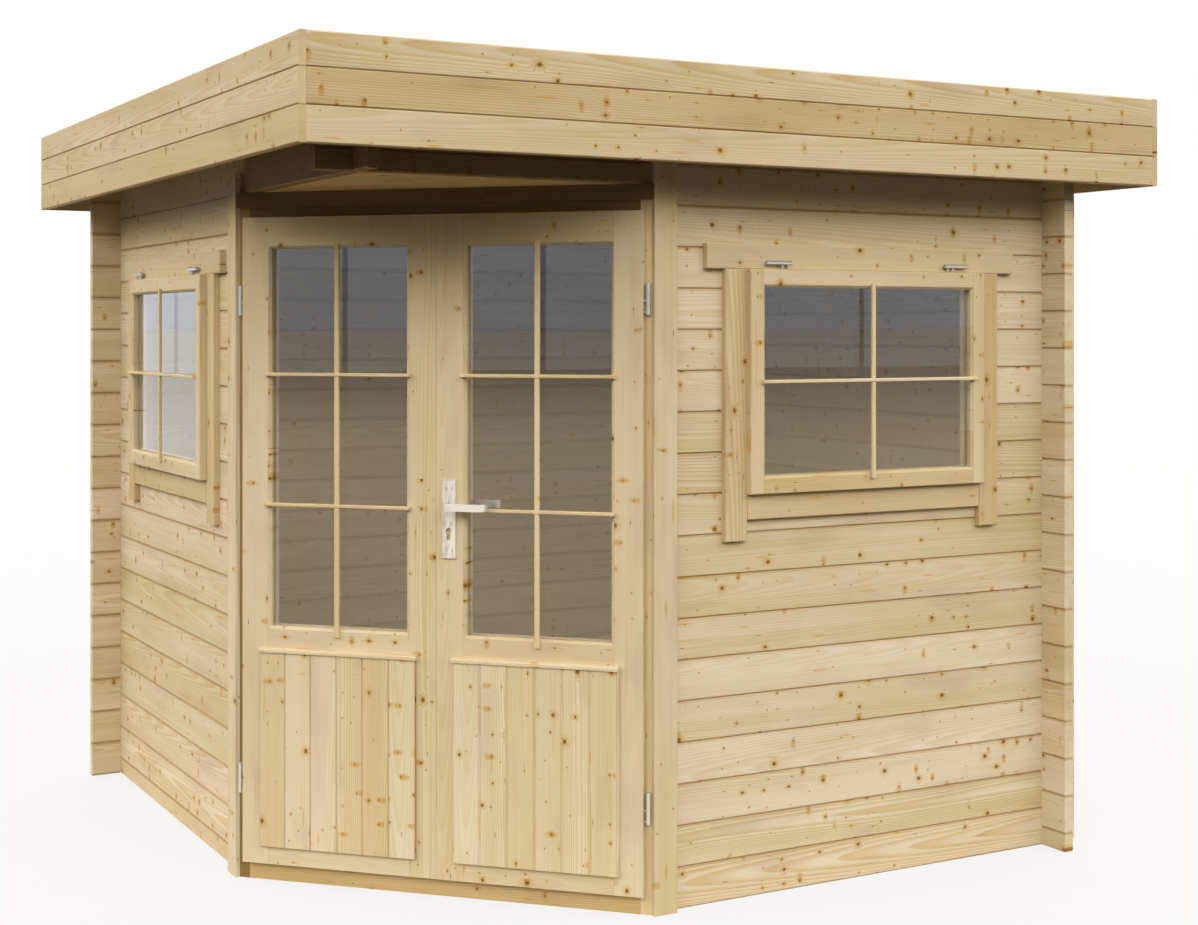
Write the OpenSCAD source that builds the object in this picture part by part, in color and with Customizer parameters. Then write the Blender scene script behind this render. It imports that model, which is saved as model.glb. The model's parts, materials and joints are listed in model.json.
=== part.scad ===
/* [Walls] */
// Outside width of the square of log walls
wall_side = 2310; // [2200:5:3200]
// Thickness of a wall log
log_t = 34; // [28:1:45]
// Height of one row of logs
log_h = 114; // [95:1:140]
// Full rows of logs in the front and back walls
log_rows = 18; // [16:1:21]
// Length of the log ends past the crossing wall
log_end = 100; // [60:5:150]
// Depth of the bevel along the edges of logs and boards
log_bevel = 3.5; // [1:0.5:5]
/* [Corner posts] */
// Width of a corner post's front face
post_w = 73; // [60:1:100]
// How far a corner post stands out of the wall
post_proud = 27; // [18:1:40]
// Depth of the groove that takes the log ends
post_groove = 18; // [8:1:20]
/* [Door] */
// Width of one door leaf, half of the pair
leaf_w = 600; // [500:5:700]
// Height of the underside of the leaves over the ground
leaf_z0 = 52; // [40:1:80]
// Distance from the top of the leaves up to the beam
leaf_drop = 74; // [66:1:120]
// Thickness of the leaf's outer flange
flange_t = 17.6; // [12:0.2:24]
// Thickness of the leaf behind its flange
leaf_core_t = 38.4; // [30:0.2:50]
// Width of the stiles and rails round a pane
stile_w = 90; // [70:1:110]
// Height of the lower edge of the panes over the ground
pane_z0 = 740; // [650:5:900]
// Depth of the bevel round the panes of doors and windows
pane_bevel = 7; // [3:1:10]
// Width of the gap between moving and fixed pieces
run_gap = 5; // [5:0.5:7]
// Height of the lock spindle over the ground
spindle_z = 1102; // [950:1:1150]
// Length of the lever from its spindle
lever_len = 122; // [100:1:140]
/* [Door frame] */
// Width of the face of a jamb
jamb_w = 32; // [28:1:45]
// Depth of the frame from front to back
frame_depth = 60; // [50:1:75]
// How far the frame's corner stands out of the wall
frame_proud = 12.6; // [8:0.2:16]
// Height of the threshold
sill_h = 64; // [58:1:80]
/* [Windows] */
// Width of a window sash
sash_w = 843; // [600:1:900]
// Height of a window sash
sash_h = 631; // [450:1:700]
// Distance from the top of the sash up to the beam
sash_drop = 229; // [190:1:300]
// Width of the sash members round the pane
sash_rail = 50; // [40:1:70]
// Width of the boards round a window
trim_w = 72; // [50:1:75]
// Thickness of the boards round a window
trim_t = 20; // [15:1:24]
// Length of the board over a window
header_len = 1107; // [1000:1:1180]
/* [Roof] */
// How far the roof reaches past the walls on every side
roof_over = 225; // [130:5:300]
// Height of one fascia board
fascia_board_h = 90; // [70:1:110]
// Thickness of a fascia board
fascia_t = 20; // [16:1:28]
// How far the fascia hangs below the top of the walls
fascia_drop = 74; // [40:1:90]
// Thickness of the roof boards
deck_t = 18; // [15:1:28]
// Gap from the corner's ceiling up to the purlins
purlin_clear = 2; // [1:0.5:20]

/* [Hidden] */

// Clearance between pieces that seat on each other
fit = 0.3;
// Clearance behind boards that are nailed on a face
seat = 0.1;
// Past both faces of what is cut
cut = 1;
// Bevel on the front edges of posts and boards
edge_bevel = 2;

// Heights that the log rows set
half_h = log_h / 2;
wall_top = log_rows * log_h + half_h;
beam_z = wall_top - log_h;
post_top = wall_top - half_h;

// The door plane crosses the corner at 45 degrees
leaf_side = 20;
jamb_out = leaf_w + leaf_side;
jamb_in = jamb_out - jamb_w;
post_x = sqrt(2) * jamb_out - frame_proud;
post_end = post_x + post_w;
door_d = post_x - frame_proud;
groove_x = post_end - post_groove;

// The leaves' front stands before the frame by the flange and the running gap
leaf_y0 = -(flange_t + run_gap);
leaf_y1 = -run_gap + leaf_core_t;
leaf_top = beam_z - leaf_drop;
leaf_half_gap = 2.6;
core_half_gap = 6;
pane_t = 4;
pane_set = 21;
pane_groove = 8;
pane_z1 = leaf_top - stile_w;
leaf_depth = leaf_y1 - leaf_y0;
overlap = 12;
head_z0 = leaf_top - overlap;
lintel_h = 44;
lintel_proud = 8.5;
lintel_t = 40;
head_z1 = beam_z - lintel_h;

// Hinges: drilled-in barrels in two halves, one standing on the other
barrel_r = 6.2;
barrel_l = 43;
barrel_pin_r = 3.5;
barrel_bore_r = 3.56;
barrel_pin_l = 32;
stud_r = 3;
stud_root = 1;
hinge_x = leaf_w + 12;
hinge_y = leaf_y0 / 2;
hinge_in = 241;
hinge_z = [leaf_z0 + hinge_in - barrel_l, leaf_top - hinge_in - barrel_l];
door_studs = [0.16, 0.88];
sash_studs = [0.28, 0.72];

// Lower panel of a leaf
panel_boards = 6;
board_w = 80;
panel_t = 13.4;
panel_z0 = leaf_z0 + 54;
panel_z1 = pane_z0 - 74;
panel_low_lap = 40;
panel_top_lap = 16;
cap_h = 12;
cap_over = 5;
cap_bevel = 4;
panel_x0 = leaf_w / 2 - panel_boards * board_w / 2;
panel_shift = 5;

// Lock: long plates with a keyhole for a profile cylinder
plate_w = 40;
plate_h = 220;
plate_t = 7;
plate_x = 40;
plate_drop = 147;
plate_bevel = 1.5;
spindle_r = 5;
hub_r = 10;
turn_fit = 0.4;
keyhole_drop = 70;
keyhole_r = 8.5;
keyhole_h = 33;
keyhole_w = 10;
keyhole_set = 3;
lever_out = 46;
neck_gap = 3;
grip_h = 20;
grip_t = 13;
grip_bend = 22;
tip_bend = 18;
tip_gap = 14;

// Windows: the casing stands in the wall's hole, the sash's flange lies over the casing
win_shift = -17;
win_x = (post_end + wall_side - log_t) / 2 + win_shift;
sash_z1 = beam_z - sash_drop;
sash_z0 = sash_z1 - sash_h;
sash_flange = 22;
sash_depth = sash_flange + log_t;
sash_y0 = -trim_t - sash_flange;
casing_w = sash_w - 5;
casing_h = sash_h - 2;
casing_t = 24;
casing_y1 = log_t + 6;
sash_play = 5;
trim_in = casing_w / 2 + 0.5;
side_foot = 131;
header_h = 70;
hole_gap = 2;
hole_w = casing_w + 2 * hole_gap;
hole_z0 = sash_z0 - hole_gap;
hole_z1 = sash_z1 + hole_gap;
window_hinge_x = 320;
window_hinge_out = 11;
window_hinge_up = 19;

// Roof
fascia_z0 = wall_top - fascia_drop;
fascia_top_h = fascia_board_h - 4.5;
fascia_z1 = fascia_z0 + 2 * fascia_board_h + fascia_top_h;
deck_in = roof_over - fascia_t - fit;
fascia_len = wall_side + 2 * roof_over;
felt_t = 3;
felt_in = 1;
purlin_w = 44;
purlin_h = log_h - deck_t - purlin_clear;
purlin_count = 3;
purlin_seat = log_t / 2;

// Floor
joist_h = 40;
joist_w = 44;
joist_count = 5;
floor_t = 18;
floor_gap = 1;

// Rows of a wall that starts with a full log, and of one that starts with half a log
full_seams = [for (k = [0 : log_rows]) k * log_h];
half_seams = [for (k = [0 : log_rows]) (k + 0.5) * log_h];

// Seams between two heights, with the heights themselves as ends
function seams_between(list, z0, z1) =
  concat([z0], [for (z = list) if (z > z0 + 1 && z < z1 - 1) z], [z1]);

// Outline of stacked boards: bevels meet in a V at each seam, on one or both faces
function face_points(seams, face, inner) = concat(
  [[inner, seams[0]]],
  [for (i = [0 : len(seams) - 2])
    each [[face, seams[i] + log_bevel], [face, seams[i + 1] - log_bevel], [inner, seams[i + 1]]]]
);
function reversed(list) = [for (i = [len(list) - 1 : -1 : 0]) list[i]];
function stack_outline(seams, t) = concat(
  reversed(face_points(seams, 0, log_bevel)),
  face_points(seams, t, t - log_bevel)
);
function boards_outline(seams, t) = concat(
  reversed(face_points(seams, 0, log_bevel)),
  [[t, seams[0]], [t, seams[len(seams) - 1]]]
);

// Section of a piece from a0 to a1 whose front edges are bevelled; a negative bevel widens the front
function bevelled(a0, a1, y0, y1, bevel) = [
  [a0 + bevel, y0], [a1 - bevel, y0], [a1, y0 + abs(bevel)], [a1, y1], [a0, y1], [a0, y0 + abs(bevel)]
];

// Upright block with all four front edges bevelled, or the hole that leaves such bevels in a frame
module bevelled_block(x0, x1, z0, z1, y0, y1, bevel) {
  wider = max(-bevel, 0);
  intersection() {
    translate([0, 0, z0 - wider]) linear_extrude(z1 - z0 + 2 * wider)
      polygon(bevelled(x0, x1, y0, y1, bevel));
    translate([x0 - wider, 0, 0]) rotate([90, 0, 90]) linear_extrude(x1 - x0 + 2 * wider)
      polygon([for (p = bevelled(z0, z1, y0, y1, bevel)) [p[1], p[0]]]);
  }
}

// The walls' outer corner before the door, X along the front wall and Y along the left wall
module at_corner() {
  translate([-wall_side / 2, -wall_side / 2, 0]) children();
}

// From the front wall to the left wall, which mirrors it across the door's middle
module swap_sides() {
  mirror([1, -1, 0]) children();
}

// The middle of the frame's front face: X across the door, Y into the room
module at_door() {
  at_corner() translate([door_d / 2, door_d / 2, 0]) rotate([0, 0, -45]) children();
}

// The right leaf as drawn, or the left leaf that mirrors it
module leaf_side_of(side) {
  mirror([side > 0 ? 0 : 1, 0, 0]) children();
}

// Logs along X from x0 to x1, with their outer face on Y = 0
module logs(x0, x1, seams) {
  translate([x0, 0, 0]) rotate([90, 0, 90]) linear_extrude(x1 - x0) polygon(stack_outline(seams, log_t));
}

// Notches that the crossing wall's logs pass through, one round each seam
module crossing(x, seams) {
  for (z = seams) {
    translate([x - fit, -cut, z - (half_h + fit) / 2])
      cube([log_t + 2 * fit, log_t + 2 * cut, half_h + fit]);
  }
}

// Hole for the window between two heights
module window_hole() {
  translate([win_x - hole_w / 2, -cut, hole_z0]) cube([hole_w, log_t + 2 * cut, hole_z1 - hole_z0]);
}

// A stretch of a window wall, from the post's groove to the log ends past the far wall
module window_wall(list, z0, z1) {
  difference() {
    logs(groove_x + fit, wall_side + log_end, seams_between(list, z0, z1));
    crossing(wall_side - log_t, list);
    window_hole();
  }
}

// Rows just above the window's foot and just below its head
function seam_over(list, z) = min([for (s = list) if (s >= z) s]);
function seam_under(list, z) = max([for (s = list) if (s <= z) s]);

module wall_low(list) {
  color("wheat") window_wall(list, 0, seam_over(list, hole_z0));
}

module wall_mid(list) {
  color("wheat") window_wall(list, seam_over(list, hole_z0), seam_under(list, hole_z1));
}

module wall_high(list, z1) {
  color("wheat") window_wall(list, seam_under(list, hole_z1), z1);
}

// Notch in the top row for a purlin's end, cut from the room's side
module purlin_seats(y0) {
  for (i = [1 : purlin_count]) {
    translate([i * wall_side / (purlin_count + 1) - purlin_w / 2 - fit, y0, wall_top - purlin_h - fit])
      cube([purlin_w + 2 * fit, purlin_seat + cut, purlin_h + cut]);
  }
}

// Top rows of the front wall: over the door the lower row is half as high
module beam_front() {
  color("wheat") difference() {
    union() {
      logs(-log_end, groove_x + fit + cut, [beam_z, post_top, wall_top]);
      logs(groove_x + fit, wall_side + log_end, [beam_z - half_h, post_top, wall_top]);
    }
    crossing(0, full_seams);
    crossing(wall_side - log_t, full_seams);
  }
}

// Top row of the left wall, in the front wall's place
module beam_left() {
  color("wheat") difference() {
    logs(-log_end, wall_side + log_end, [beam_z, wall_top]);
    crossing(0, half_seams);
    crossing(wall_side - log_t, half_seams);
    purlin_seats(log_t - purlin_seat);
  }
}

// A whole wall from corner to corner, in the front wall's place
module whole_wall(list) {
  color("wheat") difference() {
    logs(-log_end, wall_side + log_end, seams_between(list, 0, wall_top));
    crossing(0, list);
    crossing(wall_side - log_t, list);
  }
}

// Right wall: half-log rows along Y, with seats for the purlins on the room's side
module right_wall() {
  color("wheat") rotate([0, 0, 180]) at_corner() swap_sides() difference() {
    whole_wall(half_seams);
    purlin_seats(log_t - purlin_seat);
  }
}

// Post beside the door: its door side is cut square to the door frame
module post() {
  color("tan") difference() {
    linear_extrude(post_top) polygon([
      [post_x, -post_proud + edge_bevel],
      [post_x + edge_bevel, -post_proud],
      [post_end - edge_bevel, -post_proud],
      [post_end, -post_proud + edge_bevel],
      [post_end, post_w - frame_proud],
      [post_x, -frame_proud]
    ]);
    translate([groove_x, -fit, -cut]) cube([post_groove + cut, log_t + 2 * fit, beam_z + cut]);
    translate([post_x - cut, -fit, beam_z - fit])
      cube([post_w + 2 * cut, log_t + 2 * fit, half_h + 2 * cut]);
  }
}

module door_jambs() {
  color("burlywood") at_door() for (side = [-1, 1]) {
    translate([side > 0 ? jamb_in : -jamb_out + fit, 0, 0]) cube([jamb_w - fit, frame_depth, head_z1]);
  }
}

module door_head() {
  color("burlywood") at_door()
    translate([-jamb_in + fit, 0, head_z0]) cube([2 * (jamb_in - fit), frame_depth, head_z1 - head_z0]);
}

module door_threshold() {
  color("burlywood") at_door()
    translate([-jamb_in + fit, 0, 0]) cube([2 * (jamb_in - fit), frame_depth, sill_h]);
}

// Board over the frame, with its ends shaped to the two posts
module door_lintel() {
  half = jamb_out - fit;
  color("wheat") at_door() translate([0, 0, head_z1]) linear_extrude(lintel_h - fit) polygon([
    [-half - lintel_proud, -lintel_proud],
    [half + lintel_proud, -lintel_proud],
    [half, 0],
    [half, lintel_t - lintel_proud],
    [-half, lintel_t - lintel_proud],
    [-half, 0]
  ]);
}

// Ceiling under the roof's corner, between the crossing beams and the lintel
module corner_soffit() {
  edge = log_t + fit;
  reach = door_d + sqrt(2) * (lintel_t - lintel_proud) - edge;
  color("tan") at_corner() translate([0, 0, beam_z]) linear_extrude(deck_t)
    polygon([[edge, edge], [reach, edge], [edge, reach]]);
}

module roof_deck() {
  side = wall_side + 2 * deck_in;
  color("tan") translate([-side / 2, -side / 2, wall_top]) cube([side, side, deck_t]);
}

module roof_felt() {
  side = wall_side + 2 * (deck_in - felt_in);
  color("dimgray") translate([-side / 2, -side / 2, wall_top + deck_t]) cube([side, side, felt_t]);
}

module roof_purlins() {
  x0 = log_t - purlin_seat + fit;
  color("wheat") at_corner() for (i = [1 : purlin_count]) {
    translate([x0, i * wall_side / (purlin_count + 1) - purlin_w / 2, wall_top - purlin_h])
      cube([wall_side - 2 * x0, purlin_w, purlin_h]);
  }
}

// Three grooved boards over each other, with their face on Y = 0
module fascia(len) {
  seams = [fascia_z0, fascia_z0 + fascia_board_h, fascia_z0 + 2 * fascia_board_h, fascia_z1];
  translate([-len / 2, 0, 0]) rotate([90, 0, 90]) linear_extrude(len)
    polygon(boards_outline(seams, fascia_t));
}

// One side of the roof's edge, turned about the middle of the building
module roof_edge(turn, len) {
  color("wheat") rotate([0, 0, turn]) translate([0, -wall_side / 2 - roof_over, 0]) fascia(len);
}

// Room floor inside the walls, cut back round the posts and the threshold
module floor_outline() {
  edge = log_t + fit;
  far = wall_side - edge;
  post_in = post_w - frame_proud + floor_gap;
  past_post = post_end + floor_gap;
  step = door_d + sqrt(2) * frame_depth + floor_gap - post_in;
  polygon([
    [far, edge], [far, far], [edge, far],
    [edge, past_post], [post_in, past_post], [post_in, step],
    [step, post_in], [past_post, post_in], [past_post, edge]
  ]);
}

module floor_boards() {
  color("tan") at_corner() translate([0, 0, joist_h]) linear_extrude(floor_t) floor_outline();
}

module floor_joists() {
  pitch = (wall_side - 2 * (log_t + floor_gap) - joist_w) / (joist_count - 1);
  color("wheat") at_corner() intersection() {
    linear_extrude(joist_h) floor_outline();
    for (i = [0 : joist_count - 1]) {
      translate([0, log_t + floor_gap + i * pitch, 0]) cube([wall_side, joist_w, joist_h]);
    }
  }
}

// Flat frame standing in the X-Z plane: outer width and height, and the width of its members
module ring(w, h, rail, t) {
  difference() {
    translate([-w / 2, 0, 0]) cube([w, t, h]);
    translate([-w / 2 + rail, -cut, rail]) cube([w - 2 * rail, t + 2 * cut, h - 2 * rail]);
  }
}

// Casing in the wall's hole
module window_frame() {
  color("burlywood") translate([win_x, -trim_t + fit, sash_z0 + (sash_h - casing_h) / 2])
    ring(casing_w, casing_h, casing_t, casing_y1 + trim_t - fit);
}

// Sash: a flange over the casing and a core inside it, round the pane
module window_sash() {
  half = sash_w / 2;
  core_in = casing_t + sash_play;
  hole = half - sash_rail;
  color("wheat") difference() {
    union() {
      bevelled_block(win_x - half, win_x + half, sash_z0, sash_z1, sash_y0, -trim_t - fit, edge_bevel);
      translate([win_x - half + core_in, sash_y0 + edge_bevel, sash_z0 + core_in])
        cube([sash_w - 2 * core_in, sash_depth - edge_bevel, sash_h - 2 * core_in]);
    }
    bevelled_block(win_x - hole, win_x + hole, sash_z0 + sash_rail, sash_z1 - sash_rail,
      sash_y0 - cut, sash_y0 + sash_depth + cut, -pane_bevel - cut);
    window_pane(pane_groove, pane_t + 2 * fit);
  }
}

// Pane that reaches into the sash's groove
module window_pane(into, t) {
  w = sash_w - 2 * sash_rail + 2 * into;
  h = sash_h - 2 * sash_rail + 2 * into;
  translate([win_x - w / 2, sash_y0 + pane_set - (t - pane_t) / 2, sash_z0 + sash_rail - into])
    cube([w, t, h]);
}

module window_glass() {
  color("lightblue") window_pane(pane_groove - fit, pane_t);
}

// Boards round the window: one above, one down each side and one below
module window_trim() {
  foot = sash_z0 - trim_w;
  header_z = sash_z1 + fit;
  color("tan") translate([win_x, 0, 0]) {
    bevelled_block(-header_len / 2, header_len / 2, header_z, header_z + header_h, -trim_t, 0, edge_bevel);
    for (x = [-trim_in - trim_w, trim_in]) {
      bevelled_block(x, x + trim_w, sash_z0 - side_foot, sash_z1, -trim_t, 0, edge_bevel);
    }
    bevelled_block(-trim_in + fit, trim_in - fit, foot, foot + trim_w - cut, -trim_t, 0, edge_bevel);
  }
}

// Barrel with a pin that stands out of its top
module pin_barrel() {
  cylinder(r = barrel_r, h = barrel_l, $fn = 32);
  cylinder(r = barrel_pin_r, h = barrel_l + barrel_pin_l, $fn = 24);
}

// Barrel that turns on that pin
module bored_barrel() {
  difference() {
    cylinder(r = barrel_r, h = barrel_l, $fn = 32);
    translate([0, 0, -cut]) cylinder(r = barrel_bore_r, h = barrel_pin_l + 2 * cut, $fn = 24);
  }
}

// Two studs along X that carry a barrel, at shares of its length
module studs(len, places) {
  root = barrel_bore_r + stud_root;
  for (place = places) {
    translate([root, 0, barrel_l * place]) rotate([0, 90, 0])
      cylinder(r = stud_r, h = len - root, $fn = 20);
  }
}

// Upper halves of the door hinges, with studs against the jambs
module door_hinges() {
  color("gainsboro") at_door() for (side = [-1, 1], z = hinge_z) {
    translate([side * hinge_x, hinge_y, z + barrel_l + fit]) {
      bored_barrel();
      rotate([0, 0, 90]) studs(-hinge_y, door_studs);
    }
  }
}

// Lower halves with the pins, with studs against the leaf's edge
module leaf_hinges(side) {
  color("gainsboro") at_door() leaf_side_of(side) for (z = hinge_z) {
    translate([hinge_x, hinge_y, z]) {
      pin_barrel();
      rotate([0, 0, 180]) studs(hinge_x - leaf_w, door_studs);
    }
  }
}

// Top hinges of a window, lying along X: the halves towards its middle carry the sash
module sash_hinges() {
  color("gainsboro") for (side = [-1, 1]) {
    translate([win_x, -trim_t - window_hinge_out, sash_z1 + window_hinge_up])
      mirror([side > 0 ? 1 : 0, 0, 0]) translate([-window_hinge_x - barrel_l, 0, 0]) rotate([0, 90, 0]) {
        pin_barrel();
        rotate([0, 0, 90]) studs(window_hinge_out, sash_studs);
        translate([0, 0, barrel_l + fit]) {
          bored_barrel();
          studs(window_hinge_up, sash_studs);
        }
      }
  }
}

// Leaf: flange over the frame and core inside it, open for the pane and behind the lower boards
module leaf_frame(side) {
  hatch_z0 = panel_z0 + panel_low_lap;
  color("wheat") at_door() leaf_side_of(side) difference() {
    union() {
      translate([leaf_half_gap, leaf_y0, leaf_z0])
        cube([leaf_w - leaf_half_gap, flange_t, leaf_top - leaf_z0]);
      translate([core_half_gap, leaf_y0 + cut, sill_h + run_gap])
        cube([jamb_in - run_gap - core_half_gap, leaf_depth - cut, head_z0 - sill_h - 2 * run_gap]);
    }
    bevelled_block(stile_w, leaf_w - stile_w, pane_z0, pane_z1,
      leaf_y0 - cut, leaf_y1 + cut, -pane_bevel - cut);
    translate([stile_w, leaf_y0 - cut, hatch_z0])
      cube([leaf_w - 2 * stile_w, leaf_depth + 2 * cut, panel_z1 - panel_top_lap - hatch_z0]);
    leaf_pane(pane_groove, pane_t + 2 * fit);
    if (side > 0) {
      translate([plate_x, leaf_y0 - cut, spindle_z]) rotate([-90, 0, 0])
        cylinder(r = spindle_r + 2, h = leaf_depth + 2 * cut, $fn = 32);
      for (y = [leaf_y0 - cut, leaf_y1 - keyhole_set]) {
        translate([plate_x, y, spindle_z - keyhole_drop]) keyhole(keyhole_set + cut);
      }
    }
  }
}

// Pane that reaches into the leaf's groove
module leaf_pane(into, t) {
  translate([stile_w - into, leaf_y0 + pane_set - (t - pane_t) / 2, pane_z0 - into])
    cube([leaf_w - 2 * stile_w + 2 * into, t, pane_z1 - pane_z0 + 2 * into]);
}

module leaf_glass(side) {
  color([0.7, 0.75, 0.78, 0.4]) at_door() leaf_side_of(side) leaf_pane(pane_groove - fit, pane_t);
}

// Upright boards on the lower part of a leaf, under a capping strip with a bevelled front edge
module leaf_panel(side) {
  x0 = panel_x0 - (side > 0 ? panel_shift : 0);
  seams = [for (k = [0 : panel_boards]) x0 + k * board_w];
  face = leaf_y0 - panel_t - seat;
  color("burlywood") at_door() leaf_side_of(side) {
    translate([0, face, panel_z0]) linear_extrude(panel_z1 - panel_z0)
      polygon([for (p = boards_outline(seams, panel_t)) [p[1], p[0]]]);
    translate([x0 - cap_over, 0, panel_z1]) rotate([90, 0, 90])
      linear_extrude(panel_boards * board_w + cap_over) polygon([
        [leaf_y0 - seat, 0],
        [leaf_y0 - seat, cap_h],
        [face - cap_over + cap_bevel, cap_h],
        [face - cap_over, cap_h - cap_bevel],
        [face - cap_over, 0]
      ]);
  }
}

// Keyhole for a profile cylinder, along Y: round above, a slot with a round foot below
module keyhole(len) {
  foot = keyhole_h - keyhole_r - keyhole_w / 2;
  rotate([-90, 0, 0]) cylinder(r = keyhole_r, h = len, $fn = 40);
  translate([-keyhole_w / 2, 0, -foot]) cube([keyhole_w, len, foot]);
  translate([0, 0, -foot]) rotate([-90, 0, 0]) cylinder(r = keyhole_w / 2, h = len, $fn = 32);
}

// Long plate with its back on Y = 0 and the lever's hub hole at the spindle
module lock_plate() {
  foot = spindle_z - plate_drop;
  difference() {
    bevelled_block(-plate_w / 2, plate_w / 2, foot, foot + plate_h, -plate_t, 0, plate_bevel);
    translate([0, -plate_t - cut, spindle_z]) rotate([-90, 0, 0])
      cylinder(r = hub_r + turn_fit, h = plate_t + 2 * cut, $fn = 40);
    translate([0, -plate_t - cut, spindle_z - keyhole_drop]) keyhole(plate_t + 2 * cut);
  }
}

// One plate on each face of the right leaf
module lock_plates() {
  color("silver") at_door() translate([plate_x, 0, 0]) {
    translate([0, leaf_y0, 0]) lock_plate();
    translate([0, leaf_y1, 0]) mirror([0, 1, 0]) lock_plate();
  }
}

// Quarter of a ring with the grip's section, from the X axis towards the Y axis
module grip_corner(bend) {
  rotate_extrude(angle = 90, $fn = 64) translate([bend - grip_t, -grip_h / 2]) square([grip_t, grip_h]);
}

// One lever: a hub in the plate, a neck that bends into a flat grip, and a tip turned back to the leaf
module lever() {
  neck = lever_out - grip_bend;
  tip = lever_out - tip_bend;
  rotate([-90, 0, 0]) translate([0, 0, -neck / 2])
    cylinder(r = hub_r, h = plate_t - cut + neck / 2, $fn = 40);
  translate([-grip_t / 2, -neck, -grip_h / 2]) cube([grip_t, neck - neck_gap, grip_h]);
  translate([grip_bend - grip_t / 2, -neck, 0]) rotate([0, 0, 180]) grip_corner(grip_bend);
  translate([grip_bend - grip_t / 2, -lever_out, -grip_h / 2])
    cube([lever_len - tip_bend - grip_bend + grip_t / 2, grip_t, grip_h]);
  translate([lever_len - tip_bend, -tip, 0]) rotate([0, 0, -90]) grip_corner(tip_bend);
  translate([lever_len - grip_t, -tip, -grip_h / 2]) cube([grip_t, tip - tip_gap, grip_h]);
}

// Both levers on one spindle through the leaf
module door_levers() {
  color("silver") at_door() translate([plate_x, 0, spindle_z]) {
    translate([0, leaf_y0 - plate_t, 0]) lever();
    translate([0, leaf_y1 + plate_t, 0]) mirror([0, 1, 0]) lever();
    translate([0, leaf_y0 - plate_t, 0]) rotate([-90, 0, 0])
      cylinder(r = spindle_r, h = leaf_depth + 2 * plate_t, $fn = 32);
  }
}

at_corner() wall_low(full_seams);  // front_wall_low
at_corner() wall_mid(full_seams);  // front_wall_mid
at_corner() wall_high(full_seams, beam_z - half_h);  // front_wall_high
at_corner() beam_front();  // front_beam
at_corner() swap_sides() wall_low(half_seams);  // left_wall_low
at_corner() swap_sides() wall_mid(half_seams);  // left_wall_mid
at_corner() swap_sides() wall_high(half_seams, beam_z);  // left_wall_high
at_corner() swap_sides() beam_left();  // left_beam
rotate([0, 0, 180]) at_corner() whole_wall(full_seams);  // back_wall
right_wall();
at_corner() post();  // right_post
at_corner() swap_sides() post();  // left_post
door_jambs();
door_head();
door_threshold();
door_lintel();
corner_soffit();
roof_deck();
roof_felt();
roof_purlins();
roof_edge(0, fascia_len - 2 * (fascia_t + fit));  // front_fascia
roof_edge(180, fascia_len - 2 * (fascia_t + fit));  // back_fascia
roof_edge(-90, fascia_len);  // left_fascia
roof_edge(90, fascia_len);  // right_fascia
floor_boards();
floor_joists();
at_corner() window_frame();  // front_window_frame
at_corner() window_sash();  // front_window_sash
at_corner() window_glass();  // front_window_glass
at_corner() window_trim();  // front_window_trim
at_corner() swap_sides() window_frame();  // left_window_frame
at_corner() swap_sides() window_sash();  // left_window_sash
at_corner() swap_sides() window_glass();  // left_window_glass
at_corner() swap_sides() window_trim();  // left_window_trim
at_corner() {  // window_hinges
  sash_hinges();
  swap_sides() sash_hinges();
}
door_hinges();
leaf_frame(-1);  // left_leaf_frame
leaf_glass(-1);  // left_leaf_glass
leaf_panel(-1);  // left_leaf_panel
leaf_hinges(-1);  // left_leaf_hinges
leaf_frame(1);  // right_leaf_frame
leaf_glass(1);  // right_leaf_glass
leaf_panel(1);  // right_leaf_panel
leaf_hinges(1);  // right_leaf_hinges
lock_plates();
door_levers();
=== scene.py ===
import json
import math

import bmesh
import bpy
from mathutils import Matrix, Vector


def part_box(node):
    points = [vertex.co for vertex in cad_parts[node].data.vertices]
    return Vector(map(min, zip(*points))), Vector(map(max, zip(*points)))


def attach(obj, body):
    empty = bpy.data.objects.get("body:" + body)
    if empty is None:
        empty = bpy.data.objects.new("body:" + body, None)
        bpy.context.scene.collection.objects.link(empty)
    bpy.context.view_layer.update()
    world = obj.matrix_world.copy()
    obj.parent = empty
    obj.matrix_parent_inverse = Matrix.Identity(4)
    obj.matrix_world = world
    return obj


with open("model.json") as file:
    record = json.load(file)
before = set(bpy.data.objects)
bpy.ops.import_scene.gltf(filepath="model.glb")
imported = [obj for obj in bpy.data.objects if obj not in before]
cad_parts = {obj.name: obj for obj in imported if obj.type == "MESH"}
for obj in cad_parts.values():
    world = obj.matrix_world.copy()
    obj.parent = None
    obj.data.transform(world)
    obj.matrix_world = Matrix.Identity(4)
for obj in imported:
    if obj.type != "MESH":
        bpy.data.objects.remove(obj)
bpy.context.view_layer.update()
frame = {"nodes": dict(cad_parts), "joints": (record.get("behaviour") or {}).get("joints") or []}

# A garden log cabin of pale spruce: two window walls, and glazed double doors across the corner.
# Lengths are in metres. Points on the doors use the doors' own axes: across, into the room, up.

nodes = frame["nodes"]
hinge_at = {joint["name"]: Vector(joint["pos_m"]) for joint in frame["joints"]}

UP = Vector((0, 0, 1))
ACROSS = (hinge_at["right_leaf_hinge"] - hinge_at["left_leaf_hinge"]).normalized()
INWARD = UP.cross(ACROSS)
DOOR_TURN = math.radians(45)
DOOR_MIDDLE = (hinge_at["right_leaf_hinge"] + hinge_at["left_leaf_hinge"]) / 2

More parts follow.
